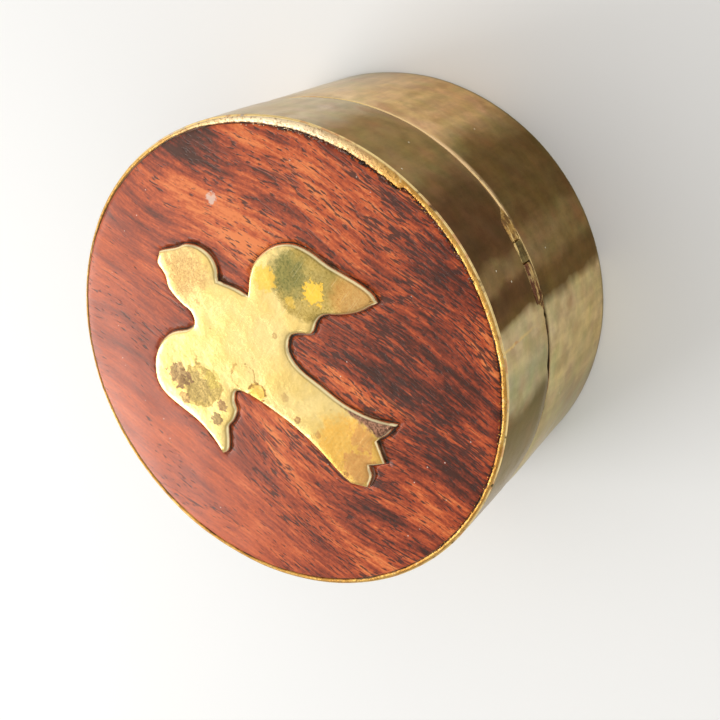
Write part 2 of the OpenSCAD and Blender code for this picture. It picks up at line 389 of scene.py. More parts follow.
def seam_bead_and_highlight(where, height, degrees):
    """1 along the bright bead on the back left part of the seam, partly a painted highlight."""
    bead = times(near(height, SEAM_Z, BEAD_AND_HIGHLIGHT_HEIGHT), near(degrees, BEAD_AND_HIGHLIGHT_AT, BEAD_AND_HIGHLIGHT_HALF))
    broken = step(cloud(where, scale=1.4, detail=3), 0.35, 0.55, 0.5, 1.3)
    return times(bead, broken, clamp=True)


def seam_painted_shade(where, height, degrees):
    """1 on the faces of the seam, behind their outer edges, where painted shade darkens the gap."""
    deeper = step(degrees, SHADE_DEEPER_FROM, SHADE_DEEPER_TO, 0, SHADE_DEEPER_BY)
    behind = step(plus(axis_distance(where), deeper), BODY_R - SEAM_SHADE_OUTER, BODY_R - SEAM_SHADE_INNER)
    return times(near(height, SEAM_Z, SEAM_SHADE_HEIGHT), behind)


def wall_brass(stops):
    """Aged brass sheet: patina and painted reflection in upright bands, fine scratches, rubbed edges and
    a seam bead that are partly painted highlight, painted shade in the seam, and dust.
    """
    where = place()
    degrees = wall_angle()
    height = height_mm()
    mottle = cloud(where, scale=0.55, detail=4, rough=0.6)
    scratch = cloud(unrolled(0.12, 7.0), detail=4, rough=0.7)
    # the bands are patina with painted reflection in them
    colour = patina(where, mottle, bands(degrees, stops))
    colour = mix(step(scratch, 0.66, 0.8, 0, 0.22), colour, RUBBED)
    colour = worn_metal_and_highlight(where, height, colour)
    # bright bead along the seam, partly painted highlight
    colour = mix(seam_bead_and_highlight(where, height, degrees), colour, BEAD_AND_HIGHLIGHT_GOLD)
    foot = times(near(height, 0.0, FOOT_HEIGHT), 0.8)
    colour = mix(foot, colour, FOOT_OLIVE)
    # painted shade in the gap of the seam
    colour = mix(seam_painted_shade(where, height, degrees), colour, PAINTED_SEAM_SHADE)
    fleck = dust(where, scale=0.42, outer=0.042, inner=0.025)
    colour = mix(fleck, colour, DUST_GREY)
    roughness = plus(step(mottle, 0.3, 0.8, 0.16, 0.27), times(fleck, 0.3))
    return colour, roughness, [(scratch, 0.003), (cloud(where, scale=1.2), 0.012)]


def joint_solder_brass():
    """Solder of the lid joint: like the wall beside it, with painted shade at its lower end in the seam.
    """
    colour, roughness, heights = wall_brass(LID_PATINA_AND_REFLECTION_BANDS)
    # painted shade where the joint runs into the seam
    low_end = step(height_mm(), LID_Z + 0.9, LID_Z + 0.4)
    return mix(low_end, colour, PAINTED_SEAM_SHADE), roughness, heights


# ---- Other brass, solder and cement ----

FILING_BROWN, FILING_ORANGE = (0.52, 0.26, 0.055), (0.7, 0.42, 0.11)
FILING_HIGHLIGHT, FILING_PIT, FILING_GOLD = (0.84, 0.7, 0.47), (0.25, 0.12, 0.035), (0.84, 0.62, 0.28)
# painted highlight on the rim, in degrees from +X
RIM_HIGHLIGHT_AT, RIM_HIGHLIGHT_HALF = 152, 36


def rim_brass():
    """Filed filling of the rim: orange gold and grainy, with a painted highlight where it laps over the
    wood, pitted.
    """
    where = place()
    grain = cloud(where, scale=4.0, detail=4, rough=0.7)
    patch = cloud(where, scale=0.45, detail=3)
    colour = mix(step(patch, 0.35, 0.7), FILING_BROWN, FILING_ORANGE)
    # painted highlight on the back left of the rim
    pale = near(wall_angle(), RIM_HIGHLIGHT_AT, RIM_HIGHLIGHT_HALF)
    colour = mix(times(pale, 0.85), colour, FILING_HIGHLIGHT)
    colour = mix(step(grain, 0.5, 0.66, 0, 0.8), colour, FILING_PIT)
    bright = step(cloud(where, scale=2.0, detail=3), 0.58, 0.72, 0, 0.5)
    colour = mix(bright, colour, FILING_GOLD)
    return colour, step(grain, 0.3, 0.7, 0.26, 0.42), [(grain, 0.05)]


def inside_brass():
    """Brass inside the box: golden and less handled, with turning marks and light stains."""
    where = place()
    stain = cloud(where, scale=0.25, detail=4, rough=0.6)
    fine = cloud(where, scale=3.0, detail=4, rough=0.7)
    marks = cloud(unrolled(0.08, 6.0), detail=3, rough=0.6)
    golden, stained, freckle = (0.66, 0.48, 0.21), (0.46, 0.31, 0.13), (0.3, 0.19, 0.09)
    colour = mix(step(stain, 0.4, 0.7), golden, stained)
    colour = mix(step(fine, 0.6, 0.8, 0, 0.4), colour, freckle)
    return colour, step(stain, 0.3, 0.7, 0.26, 0.42), [(marks, 0.006), (fine, 0.008)]


def plate_brass():
    """Sheet brass of the two plates: straight rolling marks, scuffs and a darker edge."""
    where = place()
    rolling = cloud(place(scale=(0.15, 5.0, 1.0), turn=20), detail=3, rough=0.6)
    scuff = cloud(place(scale=(3.0, 0.25, 1.0), turn=-35), detail=4, rough=0.7)
    stain = cloud(where, scale=0.18, detail=4, rough=0.6)
    plain, stained = (0.56, 0.41, 0.18), (0.34, 0.23, 0.1)
    scuffed, dark_edge = (0.78, 0.6, 0.3), (0.2, 0.12, 0.06)
    colour = mix(step(stain, 0.35, 0.7), plain, stained)
    colour = mix(step(scuff, 0.62, 0.72, 0, 0.5), colour, scuffed)
    edge = step(axis_distance(where), INNER_R - 3, INNER_R, 0, 0.6)
    colour = mix(edge, colour, dark_edge)
    return colour, step(stain, 0.3, 0.7, 0.26, 0.44), [(rolling, 0.006), (scuff, 0.008)]


def solder_metal():
    """Pale brassy solder, lumpy and a little oxidised."""
    lump = cloud(place(), scale=2.2, detail=4, rough=0.6)
    bright, oxidised = (0.66, 0.48, 0.22), (0.28, 0.19, 0.09)
    colour = mix(step(lump, 0.4, 0.7), bright, oxidised)
    return colour, step(lump, 0.3, 0.7, 0.3, 0.5), [(lump, 0.04)]


def hinge_brass(bright, dark):
    """Hinge tube: dark in the hollows, with golden lines along it that are partly filed marks and partly
    painted highlight.
    """
    blotch = cloud(place(), scale=1.3, detail=4, rough=0.65)
    lines = cloud(place(scale=(0.5, 4.0, 4.0)), detail=3, rough=0.6)
    filed = (0.95, 0.68, 0.28)
    colour = mix(step(blotch, 0.4, 0.6), bright, dark)
    # golden lines along the tube: partly filed marks, partly painted highlight
    colour = mix(step(lines, 0.54, 0.64, 0, 0.8), colour, filed)
    return colour, step(blotch, 0.3, 0.7, 0.2, 0.36), [(blotch, 0.05), (lines, 0.02)]


def cement_dark():
    """Dark brown resin cement with paler crumbs and a pinkish film where it was wiped off."""
    where = place()
    grain = cloud(where, scale=7.0, detail=3, rough=0.6)
    dark, crumbs, pinkish = (0.03, 0.015, 0.011), (0.14, 0.08, 0.05), (0.34, 0.17, 0.12)
    colour = mix(step(grain, 0.55, 0.7), dark, crumbs)
    film = step(cloud(where, scale=0.5, detail=3), 0.48, 0.6, 0, 0.75)
    colour = mix(film, colour, pinkish)
    return colour, step(grain, 0.3, 0.7, 0.45, 0.7), [(grain, 0.05)]


# ---- Rosewood ----

# the grain runs at this angle to X, in degrees
GRAIN_TURN = -36
WOOD_TINT = (1.0, 0.62, 0.42, 1)
WOOD_RAMP = ((0.39, (0.045, 0.008, 0.006)), (0.44, (0.15, 0.02, 0.009)),
             (0.5, (0.34, 0.047, 0.015)), (0.56, (0.58, 0.1, 0.025)),
             (0.64, (0.84, 0.23, 0.065)))
# lighter and darker areas, partly painted light (a painted sheen on the left and painted shade on the
# right) and partly the wood's own tone: x, y, radius in millimetres, and the change of tone
WOOD_TONE_AND_LIGHT_PATCHES = ((-14, 8, 8, 0.035), (14, 12, 8, -0.034), (5, 9.5, 3.5, -0.02), (1.5, 16, 4, 0.022),
               (-9, 9, 4, -0.02), (9, -9, 8, 0.012), (-19, 7, 4, 0.02), (-10, 17, 5, 0.03))
# share of each kind of noise in the tone
BROAD_SHARE, BAND_SHARE, FIBRE_SHARE, SPECK_SHARE = 0.32, 0.36, 0.22, 0.1
PORE_BLACK, WOOD_DUST = (0.03, 0.011, 0.012), (0.8, 0.66, 0.56)
SCAR_AT, SCAR_R = (-15.4, 1.5), 0.78


def grain_place(where):
    """Place with its first axis along the slightly wavy grain."""
    sway = cloud(where, scale=0.05, detail=1)
    shift = add("CombineXYZ", {1: times(sway, 6.0)}).outputs[0]
    return add("VectorMath", {0: place(turn=GRAIN_TURN), 1: shift}, operation="ADD").outputs[0]


def stretched(bent, length, width):
    """Place along the grain, for noise of a given length and width in millimetres."""
    return vector_times(bent, (1 / length, 1 / width, 0.5))


def wood_tone(where, bent, fibre):
    """Tone of the wood from 0 to 1, weaker in contrast and a little lighter towards the front of the
    lid, partly a painted sheen, with patches of painted light and shade.
    """
    broad = cloud(stretched(bent, 14, 5), bend=0.2)
    band = cloud(stretched(bent, 6, 1.0), detail=5, rough=0.7, bend=0.15)
    speck = cloud(where, scale=3.5, detail=3, rough=0.6)
    tone = times(broad, BROAD_SHARE)
    for layer, share in ((band, BAND_SHARE), (fibre, FIBRE_SHARE), (speck, SPECK_SHARE)):
        tone = plus(tone, times(layer, share))
    towards_back = axes(where)[1]
    front, middle = -WOOD_R * 0.8, WOOD_R * 0.1
    # weaker in contrast and lighter towards the front: partly a painted sheen
    contrast = step(towards_back, front, middle, 0.55, 1.4)
    level = step(towards_back, front, middle, 0.522, 0.51)
    # patches of painted light and shade, and of the wood's own tone
    for x, y, radius, change in WOOD_TONE_AND_LIGHT_PATCHES:
        area = spot((x, y), radius, ragged=0.4, grain=0.3, soft=1.2)
        level = plus(level, times(area, change))
    return plus(times(centred(tone), contrast), level)


def pore_limit(where):
    """Threshold of the pores: they are dense towards the back of the lid and sparse at its front."""
    x, y, _ = axes(where)
    tilt = plus(times(x, 0.35), y)
    back = step(tilt, -WOOD_R * 0.7, WOOD_R * 0.4, 0.64, 0.53)
    patches = cloud(place(scale=(0.1, 0.3, 0.3), turn=GRAIN_TURN))
    return plus(back, step(patches, 0.35, 0.65, 0.05, -0.05))


def pores(where, bent):
    """1 in the black pores: short dashes, and longer streaks."""
    limit = pore_limit(where)
    dash = minus(cloud(stretched(bent, 1.0, 0.21)), limit)
    streak = minus(cloud(stretched(bent, 5.0, 0.42), detail=3, rough=0.6), plus(limit, 0.035))
    return calc("MAXIMUM", times(dash, 14.0, clamp=True), times(streak, 9.0, clamp=True))


def rosewood():
    """Lacquered rosewood: red-orange and dark streaks along the grain, pores, dust and a pale scar."""
    where = place()
    bent = grain_place(where)
    fibre = cloud(stretched(bent, 2.2, 0.3), detail=4, rough=0.7)
    colour = ramp(wood_tone(where, bent, fibre), WOOD_RAMP)
    ink = pores(where, bent)
    colour = mix(times(ink, 0.88), colour, PORE_BLACK)
    fleck = dust(where, scale=0.8, outer=0.06, inner=0.03)
    fleck = times(fleck, step(cloud(where, scale=0.35), 0.48, 0.56))
    scar = times(spot(SCAR_AT, SCAR_R, ragged=1.0, grain=2.4, soft=0.3), 0.7)
    colour = mix(calc("MAXIMUM", fleck, scar), colour, WOOD_DUST)
    roughness = step(fibre, 0.3, 0.7, 0.34, 0.46)
    return colour, roughness, [(times(ink, -1.0), 0.02), (fibre, 0.012)]


# ---- Brass of the bird ----

BIRD_SPOTS = (
    # x, y, radius, raggedness, grain, softness, strength, colour
    (9.3, 4.3, 3.4, 0.6, 1.3, 0.6, 0.9, (0.9, 0.48, 0.08)),
    (10.9, 4.3, 1.6, 1.1, 1.6, 0.3, 0.55, (0.62, 0.25, 0.12)),
    (8.5, 5.9, 1.2, 1.1, 1.6, 0.3, 0.5, (0.62, 0.25, 0.12)),
    (-10.7, -4.3, 2.4, 1.0, 1.3, 0.8, 0.85, (0.52, 0.3, 0.12)),
    (-5.5, 7.4, 3.3, 0.3, 0.8, 0.2, 0.95, (0.33, 0.23, 0.05)),
    (-6.9, 5.9, 2.0, 0.9, 1.0, 0.9, 0.85, (0.13, 0.145, 0.05)),
    (-5.0, 9.2, 1.2, 0.6, 1.2, 0.8, 0.5, (0.2, 0.16, 0.05)),
    (-3.0, 10.9, 2.0, 0.4, 0.9, 0.6, 0.9, (0.55, 0.27, 0.075)),
    (-4.7, 7.6, 1.0, 1.3, 2.8, 0.25, 0.9, (0.9, 0.54, 0.06)),
    (-4.7, 5.0, 0.5, 1.3, 2.8, 0.3, 0.5, (0.9, 0.56, 0.08)),
    (-7.4, 3.6, 1.1, 0.9, 2.4, 0.4, 0.85, (0.88, 0.54, 0.075)),
    (-0.5, -8.6, 2.2, 0.9, 1.0, 0.12, 0.95, (0.34, 0.24, 0.07)),
    (-0.8, -6.9, 0.9, 0.8, 1.4, 0.2, 0.6, (0.52, 0.4, 0.09)),
    (-0.7, -9.2, 1.5, 1.0, 1.8, 0.2, 0.55, (0.3, 0.21, 0.09)),
    (-2.3, -10.4, 1.2, 1.1, 2.0, 0.15, 0.85, (0.15, 0.07, 0.05)),
    (-0.1, -11.0, 0.6, 1.0, 2.2, 0.2, 0.8, (0.17, 0.085, 0.045)),
    (1.8, -7.2, 0.55, 0.9, 2.6, 0.2, 0.85, (0.22, 0.1, 0.06)),
    (2.8, -8.5, 0.6, 0.9, 2.6, 0.2, 0.9, (0.11, 0.06, 0.04)),
    (1.7, -2.7, 0.85, 0.4, 2.2, 0.3, 0.75, (0.8, 0.46, 0.05)),
    (-2.5, 1.9, 0.28, 0.7, 3.0, 0.3, 0.6, (0.36, 0.2, 0.07)),
    (2.9, 0.0, 0.4, 1.0, 3.0, 0.2, 0.45, (0.42, 0.22, 0.08)),
    (5.2, 0.2, 0.36, 0.8, 3.0, 0.2, 0.8, (0.3, 0.12, 0.05)),
    (7.0, 1.6, 0.32, 1.0, 3.0, 0.2, 0.55, (0.4, 0.18, 0.07)),
    (11.1, 2.6, 0.24, 0.8, 3.0, 0.2, 0.7, (0.3, 0.12, 0.05)),
)
# stained rings: x, y, outer and inner radius, strength
RINGS = ((1.7, -2.7, 1.02, 0.76, 1.0), (-0.1, -3.4, 1.34, 1.16, 0.65))
BIRD_YELLOW, BIRD_GOLD = (0.82, 0.62, 0.25), (0.77, 0.55, 0.18)
RING_BROWN, PIT_BROWN = (0.34, 0.19, 0.05), (0.45, 0.27, 0.09)
PLUM_DARK, PLUM_PALE = (0.12, 0.05, 0.045), (0.42, 0.2, 0.14)
SCRATCH_PALE, BEVEL_HIGHLIGHT = (0.95, 0.82, 0.5), (0.98, 0.84, 0.5)
# the stained outer feather of the tail lies behind the line y = slope * x + rise, from this x on
FEATHER_SLOPE, FEATHER_RISE, FEATHER_X = 0.6, 2.25, 4.8
DULL_AT, DULL_R = (-5.6, 7.7), 3.2


def stains(fine, colour):
    """Colour with the tarnished spots of the bird over it."""
    for x, y, radius, raggedness, grain, softness, strength, tone in BIRD_SPOTS:
        part = spot((x, y), radius, raggedness, grain, softness)
        part = times(part, step(fine, 0.3, 0.62, strength, strength * 0.72))
        colour = mix(part, colour, tone)
    return colour


def ring_stains(where, colour):
    """Colour with broken brown rings over it."""
    for x, y, outer, inner, strength in RINGS:
        ring = minus(spot((x, y), outer, ragged=0.3, grain=1.6, soft=0.12),
                    spot((x, y), inner, ragged=0.3, grain=1.6, soft=0.12), clamp=True)
        broken = step(cloud(where, scale=1.4), 0.42, 0.54, 0, strength)
        colour = mix(times(ring, broken), colour, RING_BROWN)
    return colour


def tail_feather():
    """Below 0 on the stained outer feather of the tail, growing away from it, in millimetres."""
    where = place()
    x, y, _ = axes(where)
    wobble = centred(cloud(where, scale=1.6, detail=3, rough=0.6))
    below = minus(times(x, FEATHER_SLOPE), y)
    gap = plus(plus(below, FEATHER_RISE), times(wobble, 1.2))
    return calc("MAXIMUM", gap, minus(FEATHER_X, x))


def bird_brass():
    """Polished brass, tarnished green, brown and plum in places, with rings, scratches and pits, and a
    painted highlight on its rounded edge.
    """
    where = place()
    soft = cloud(where, scale=0.35, detail=3)
    fine = cloud(where, scale=5.0, detail=4, rough=0.7)
    colour = mix(step(soft, 0.35, 0.7), BIRD_YELLOW, BIRD_GOLD)
    colour = ring_stains(where, stains(fine, colour))
    plum = mix(step(fine, 0.42, 0.58), PLUM_DARK, PLUM_PALE)
    colour = mix(step(tail_feather(), 0.25, -0.15, 0, 0.92), colour, plum)
    scratch = cloud(place(scale=(0.25, 9.0, 1.0), turn=62), detail=3, rough=0.6)
    colour = mix(step(scratch, 0.6, 0.75, 0, 0.3), colour, SCRATCH_PALE)
    pit = step(cloud(where, scale=2.6), 0.68, 0.76, 0, 0.55)
    colour = mix(pit, colour, PIT_BROWN)
    # painted highlight on the rounded edge
    bevel_highlight = step(height_mm(), BIRD_TOP - 0.05, BIRD_TOP - 0.13, 0, 0.8)
    colour = mix(bevel_highlight, colour, BEVEL_HIGHLIGHT)
    dull = spot(DULL_AT, DULL_R, ragged=0.3, grain=0.7, soft=0.5)
    roughness = plus(step(fine, 0.3, 0.7, 0.17, 0.27), times(dull, 0.1))
    return colour, roughness, [(soft, 0.08), (scratch, 0.003), (fine, 0.003)]


# ---- Mesh helpers ----

# in metres: points of a CAD mesh closer than the weld are one point, and its top face is level to within
WELD, LEVEL = 1e-7, 1e-6
# in millimetres: points of an outline closer than this are one point
JOIN = 1e-5


def new_piece(name, points, faces, material, smooth=True):
    """Mesh object from points in millimetres."""
    mesh = bpy.data.meshes.new(name)
    mesh.from_pydata([Vector(p) * MM for p in points], [], faces)
    mesh.validate()
    mesh.update()
    work = bmesh.new()
    work.from_mesh(mesh)
    bmesh.ops.recalc_face_normals(work, faces=work.faces)
    work.to_mesh(mesh)
    work.free()
    for face in mesh.polygons:
        face.use_smooth = smooth
    mesh.materials.append(material)
    piece = bpy.data.objects.new(name, mesh)
    put(piece)
    return piece


def grid_faces(columns, rows, closed_columns=True):
    """Quads of a grid whose points are stored column by column, closed along each column."""
    faces = []
    for c in range(columns if closed_columns else columns - 1):
        a, b = c * rows, ((c + 1) % columns) * rows
        for r in range(rows):
            up = (r + 1) % rows
            faces.append((a + r, b + r, b + up, a + up))
    return faces


def strip_faces(first, second, count):
    """Quads between two closed rows of points, each given by the number of its first point."""
    around = [(k, (k + 1) % count) for k in range(count)]
    return [(first + k, first + after, second + after, second + k) for k, after in around]


def round_angles(count):
    """Evenly spaced angles of a full turn, in radians."""
    return [2 * pi * k / count for k in range(count)]


def arc(centre_r, centre_z, radius, start, end, steps):
    """Points (r, z) on an arc, angles in degrees."""
    angles = [radians(start + (end - start) * k / steps) for k in range(steps + 1)]
    return [(centre_r + radius * cos(a), centre_z + radius * sin(a)) for a in angles]


def lerp(a, b, t):
    """a where t is 0, b where it is 1."""
    return a + (b - a) * t


def bell(x, centre, width):
    """1 at the centre, falling off smoothly on both sides."""
    return exp(-((x - centre) / width) ** 2)


def ease(value, low, high):
    """0 below low, 1 above high, smooth between."""
    t = min(max((value - low) / (high - low), 0.0), 1.0)
    return t * t * (3 - 2 * t)


def ripple(degrees, depth, count, phase=0):
    """Wave with a number of crests round the box."""
    return depth * sin(radians(degrees * count + phase))


def loop_of(name):
    """Outline of the top face of a CAD node, in order, in millimetres."""
    work = bmesh.new()
    work.from_mesh(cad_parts[name].data)
    bmesh.ops.remove_doubles(work, verts=work.verts, dist=WELD)
    top = max(v.co.z for v in work.verts)
    tops = {f for f in work.faces if all(v.co.z > top - LEVEL for v in f.verts)}
    edges = [e for e in work.edges if sum(f in tops for f in e.link_faces) == 1]
    after = {}
    for edge in edges:
        face = next(f for f in edge.link_faces if f in tops)
        loop = next(l for l in face.loops if l.edge == edge)
        after[loop.vert.index] = (loop.link_loop_next.vert.index, loop.vert.co.copy())
    start = next(iter(after))
    points, at = [], start
    while True:
        following, co = after[at]
        points.append(Vector((co.x, co.y)) / MM)
        at = following
        if at == start:
            break
    work.free()
    return points


def offset(points, grow):
    """Loop, anticlockwise from above, moved outwards by a number or a function of the point."""
    moved = []
    for i, point in enumerate(points):
        way = points[(i + 1) % len(points)] - points[i - 1]
        out = Vector((way.y, -way.x)).normalized()
        moved.append(point + out * (grow(point) if callable(grow) else grow))
    return moved


def inside(point, loop):
    """Whether a point lies inside a loop, by counting crossings."""
    hit = False
    for a, b in zip(loop, loop[1:] + loop[:1]):
        if (a.y > point.y) != (b.y > point.y):
            if point.x < (b.x - a.x) * (point.y - a.y) / (b.y - a.y) + a.x:
                hit = not hit
    return hit


def edge_gap(point, loop):
    """Distance from a point to the nearest point of a loop."""
    return min((point - p).length for p in loop)


def fill(loops, extra, keep):
    """Triangles over loops and extra points, kept where keep(centre) is true."""
    coords = [Vector(p) for loop in loops for p in loop] + list(extra)
    edges, start = [], 0
    for loop in loops:
        count = len(loop)
        edges += [(start + i, start + (i + 1) % count) for i in range(count)]
        start += count
    verts, _, faces, _, _, _ = delaunay_2d_cdt(coords, edges, [], 0, JOIN)
    kept = [tuple(f) for f in faces if keep(sum((verts[i] for i in f), Vector((0, 0))) / len(f))]
    return verts, kept


# ---- Walls ----

LID_SEED, BASE_SEED = 1, 2
SEED_SHIFT = Vector((7.3, 3.1, 5.7))
# unevenness of the hand-beaten sheet: height and wavelength in millimetres
BEATING = ((0.045, 5.5), (0.1, 16), (0.008, 1.3))
# the uneven wall lies inside the CAD wall by the sink, and draws in at the seam
WALL_SINK, WAIST_DEPTH, WAIST_WIDTH = 0.08, 0.13, 1.0
WALL_COLUMNS, ROWS_OUT, ROWS_IN = 400, 40, 8
TOP_ROUND, LOW_ROUND = 0.17, 0.12
TOP_BEVEL, LOW_BEVEL, ROW_MARGIN = 0.03, 0.04, 0.1
CORNER_SLACK = 0.01
# columns beside the sides of the notch, in degrees
PAIR_GAP, PAIR_CLEAR = 0.03, 0.3
# step at the joint of the lid wall: height, run-out in degrees, and sway of its line in degrees
STEP_HEIGHT, STEP_RUNOUT, STEP_SWAY, SWAY_PER_MM = 0.1, 5.0, 0.35, 1.3
# dents of the lid's lower edge: depth, place and width in degrees
LID_DENTS = ((0.34, 75, 2.2), (0.66, 65, 2.8), (0.24, 71, 4.5))
BASE_DENTS = ((-0.12, 80, 10), (0.06, 120, 18))
LID_RAISE, BASE_SINK, RIM_SINK = 0.08, 0.04, 0.065
# the notch is full height between its sloping ends, whose feet are at the sides of the notch
SLOPE_LEFT, SLOPE_RIGHT = 3.4, 2.6


def hammered(x, y, z, seed):
    """Gentle unevenness of the hand-beaten sheet, in millimetres."""
    here = Vector((x, y, z))
    shift = SEED_SHIFT * seed
    return sum(size * noise.noise(here / wave + shift) for size, wave in BEATING)


def wall_columns(notched):
    """Angles in degrees of the wall's columns, with close pairs at the sides of the notch."""
    angles = [360 * k / WALL_COLUMNS for k in range(WALL_COLUMNS)]
    if notched:
        side = to_degrees(asin(NOTCH_X / BODY_R))
        for edge in (90 - side, 90 + side):
            angles = [a for a in angles if abs(a - edge) > PAIR_CLEAR]
            angles += [edge - PAIR_GAP, edge + PAIR_GAP]
    return sorted(angles)


def wall_profile(z0, z1):
    """Section of the wall as (radius, height, share of the unevenness)."""
    low, top = z0 + LOW_ROUND, z1 - TOP_ROUND
    profile = [(BODY_R, lerp(low, top, k / ROWS_OUT), 1.0) for k in range(ROWS_OUT + 1)]
    profile += [(r, z, 1.0) for r, z in arc(BODY_R - TOP_ROUND, top, TOP_ROUND, 15, 90, 5)]
    profile += [(INNER_R + TOP_BEVEL, z1, 0.6), (INNER_R, z1 - TOP_BEVEL, 0.5)]
    profile += [(INNER_R, lerp(z1 - ROW_MARGIN, z0 + ROW_MARGIN, k / ROWS_IN), 0.0)
                for k in range(ROWS_IN + 1)]
    profile += [(INNER_R, z0 + LOW_BEVEL, 0.0), (INNER_R + TOP_BEVEL, z0, 0.0)]
    profile += [(r, z, 1.0) for r, z in arc(BODY_R - LOW_ROUND, low, LOW_ROUND, -90, -15, 4)]
    return profile


def make_wall(name, material, low, high, seed, waist_z, notched):
    """Bent sheet wall, uneven like hand work. low and high give its edges from the angle."""
    points, edges = [], []
    columns = wall_columns(notched)
    for degrees in columns:
        a = radians(degrees)
        z0, z1 = low(degrees), high(degrees)
        for r, z, share in wall_profile(z0, z1):
            bulge = hammered(r * cos(a), r * sin(a), z, seed) - WALL_SINK
            bulge -= WAIST_DEPTH * bell(z, waist_z, WAIST_WIDTH)
            bulge += joint_step(degrees, z) if notched else 0
            r += share * min(bulge, 0.0)
            points.append((r * cos(a), r * sin(a), z))
            rounded = z > z1 - TOP_ROUND + CORNER_SLACK or z < z0 + LOW_ROUND - CORNER_SLACK
            edges.append(float(share == 1.0 and rounded))
    piece = new_piece(name, points, grid_faces(len(columns), len(points) // len(columns)), material)
    piece.data.attributes.new(EDGE, "FLOAT", "POINT").data.foreach_set("value", edges)
    return piece


def joint_step(degrees, z):
    """The lap at the joint of the lid wall: one side stands proud and runs out."""
    gap = degrees - JOINT_DEG - STEP_SWAY * sin(z * SWAY_PER_MM)
    return 0.0 if gap > 0 else STEP_HEIGHT * exp(gap / STEP_RUNOUT)


def lid_wall_radius(angle, z):
    """Outer radius of the uneven lid wall."""
    x, y = BODY_R * cos(angle), BODY_R * sin(angle)
    bulge = hammered(x, y, z, LID_SEED) - WALL_SINK + joint_step(to_degrees(angle) % 360, z)
    return BODY_R + min(bulge, 0.0)


def dents(degrees, places):
    """Sum of dents, given as (depth, place, width)."""
    return sum(depth * bell(degrees, at, width) for depth, at, width in places)


def lid_edge(degrees):
    """Lower edge of the lid wall: a notch with sloping ends at the hinge, dents to its right."""
    wave = ripple(degrees, 0.03, 7) + ripple(degrees, 0.03, 13, 40)
    plain = LID_Z + LID_RAISE + wave + dents(degrees, LID_DENTS)
    x = cos(radians(degrees)) * BODY_R
    if degrees > 180 or abs(x) > NOTCH_X:
        return plain
    slopes = ease(x, -NOTCH_X, -SLOPE_LEFT) * ease(-x, -NOTCH_X, -SLOPE_RIGHT)
    return max(plain, lerp(LID_Z, NOTCH_Z, slopes))


def base_edge(degrees):
    """Upper edge of the base wall."""
    return SEAM_Z - BASE_SINK + ripple(degrees, 0.02, 9, 70) + dents(degrees, BASE_DENTS)


def rim_edge(degrees):
    """Upper edge of the lid wall."""
    return RIM_Z - RIM_SINK + ripple(degrees, 0.015, 5, 20)


# ---- Hinge ----

# node, body, slot, share of its radius, the height down to which it is filed outside the box, and
# its bright and dark patina: golden brown, reddish brown, olive, golden brown
HINGE = (("lid_knuckle_left", "lid", "hinge_brass", 1, AXIS_Z - KNUCKLE_R,
          (0.56, 0.33, 0.1), (0.22, 0.115, 0.045)),
         ("lid_knuckle_right", "lid", "hinge_brass", 1, SEAM_Z + 0.13,
          (0.2, 0.085, 0.045), (0.1, 0.042, 0.026)),
         ("base_knuckle", "base", "hinge_brass", 1, AXIS_Z - KNUCKLE_R,
          (0.22, 0.165, 0.065), (0.1, 0.068, 0.03)),
         ("hinge_pin", "lid", "pin_brass", 0.6, AXIS_Z - KNUCKLE_R,
          (0.42, 0.25, 0.09), (0.17, 0.09, 0.04)))
# the hinge is filed to just outside the wall, and lower from ENDS_FROM to ENDS_TO from its middle
FILED_PROUD, FILED_ENDS, ENDS_FROM, ENDS_TO = 0.02, 0.22, 3.2, 4.6
TUBE_AROUND, TUBE_STEP, TUBE_MIN_STEPS = 48, 0.12, 6
TUBE_EDGE, TUBE_EDGE_WIDTH, TUBE_ROUGH, FACET = 0.07, 0.12, 0.02, 0.05


def filed_limit(x):
    """Distance from the axis of the box to which the hinge is filed, lower at the two ends."""
    ends = ease(abs(x), ENDS_FROM, ENDS_TO)
    return BODY_R + FILED_PROUD - FILED_ENDS * ends + 0.025 * noise.noise(Vector((x, 3, 1)) / 0.6)


def make_tube(name, material, low_x, high_x, radius, floor_z):
    """Piece of the hinge, filed outside the box to the curve of the wall and down to floor_z."""
    points = []
    steps = max(int((high_x - low_x) / TUBE_STEP), TUBE_MIN_STEPS)
    for k in range(steps + 1):
        x = lerp(low_x, high_x, k / steps)
        edge = TUBE_EDGE * (1 - ease(min(x - low_x, high_x - x), 0, TUBE_EDGE_WIDTH))
        for a in round_angles(TUBE_AROUND):
            rough = TUBE_ROUGH * noise.noise(Vector((x, cos(a), sin(a))) * 2.2)
            r = radius - edge - TUBE_ROUGH + rough
            y, z = AXIS_Y + r * cos(a), AXIS_Z + r * sin(a)
            facet = FACET * noise.noise(Vector((x / 0.5, z / 0.7, 8)))
            if y > AXIS_Y:
                z = max(z, floor_z)
            points.append((x, min(y, sqrt(filed_limit(x) ** 2 - x * x) + facet), z))
    faces = grid_faces(steps + 1, TUBE_AROUND, closed_columns=False)
    faces.append(tuple(reversed(range(TUBE_AROUND))))
    faces.append(tuple(range(steps * TUBE_AROUND, (steps + 1) * TUBE_AROUND)))
    return new_piece(name, points, faces, material)


# ---- Lid top: rim filling, cement and wood ----

# gap between the wood and the wall, and how it changes round the lid: change, place and width in degrees
WOOD_GAP = 0.12
WOOD_WAVES = ((-0.14, 85, 35), (0.2, 243, 45))
# the brass laps over the wood from a sudden start, and runs out
LAP_DEPTH, LAP_START, LAP_FULL, LAP_FALL, LAP_END = 0.5, 116.6, 117.6, 132, 185
RAGGED_BROAD, RAGGED_FINE, RAGGED_LOWEST = 0.1, 0.08, -0.02
FILLING_COLUMNS, FILLING_GAP, FILLING_INSET, FILLING_SINK = 900, 0.03, 0.13, 0.015
FILLING_FOOT = -0.4
